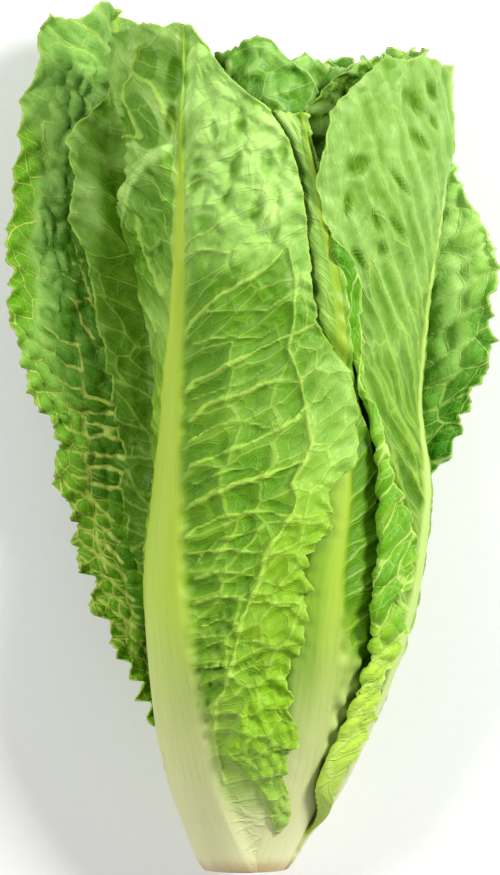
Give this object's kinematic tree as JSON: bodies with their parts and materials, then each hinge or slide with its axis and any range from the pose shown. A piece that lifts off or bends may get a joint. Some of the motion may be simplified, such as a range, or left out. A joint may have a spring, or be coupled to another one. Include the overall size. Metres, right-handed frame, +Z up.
{
  "type": "romaine lettuce head",
  "caption": "Head of romaine lettuce lying on its back: crisp ribbed leaves with frilled margins, wrapped round a short stem with a cut end.",
  "frame": {"origin": "on the table, under the middle of the head as it lies on its back", "axes": "+Y from the cut end to the leaf tips, +Z up, +X to the right seen from above with the tips away from the viewer"},
  "size_m": [0.169, 0.29, 0.0934],
  "materials": {
    "outer_leaf": "satin green leaf blade with a paler yellow-green rib",
    "inner_leaf": "satin light green leaf blade",
    "heart_leaf": "satin pale yellow-green leaf blade",
    "stem": "matt pale flesh with a browned cut rim"
  },
  "bodies": {
    "root": {"left_outer_leaf": "outer_leaf", "front_leaf": "outer_leaf", "back_right_leaf": "outer_leaf", "centre_right_leaf": "outer_leaf", "left_middle_leaf": "outer_leaf", "right_leaf": "outer_leaf", "back_leaf": "outer_leaf", "inner_right_leaf": "outer_leaf", "inner_leaf_1": "inner_leaf", "inner_leaf_2": "inner_leaf", "inner_leaf_3": "inner_leaf", "inner_leaf_4": "inner_leaf", "inner_leaf_5": "inner_leaf", "heart_leaf_1": "heart_leaf", "heart_leaf_2": "heart_leaf", "heart_leaf_3": "heart_leaf", "heart_leaf_4": "heart_leaf", "heart_leaf_5": "heart_leaf", "core_leaf_1": "heart_leaf", "core_leaf_2": "heart_leaf", "core_leaf_3": "heart_leaf", "core_leaf_4": "heart_leaf", "core_leaf_5": "heart_leaf", "stem": "stem"}
  },
  "joints": []
}
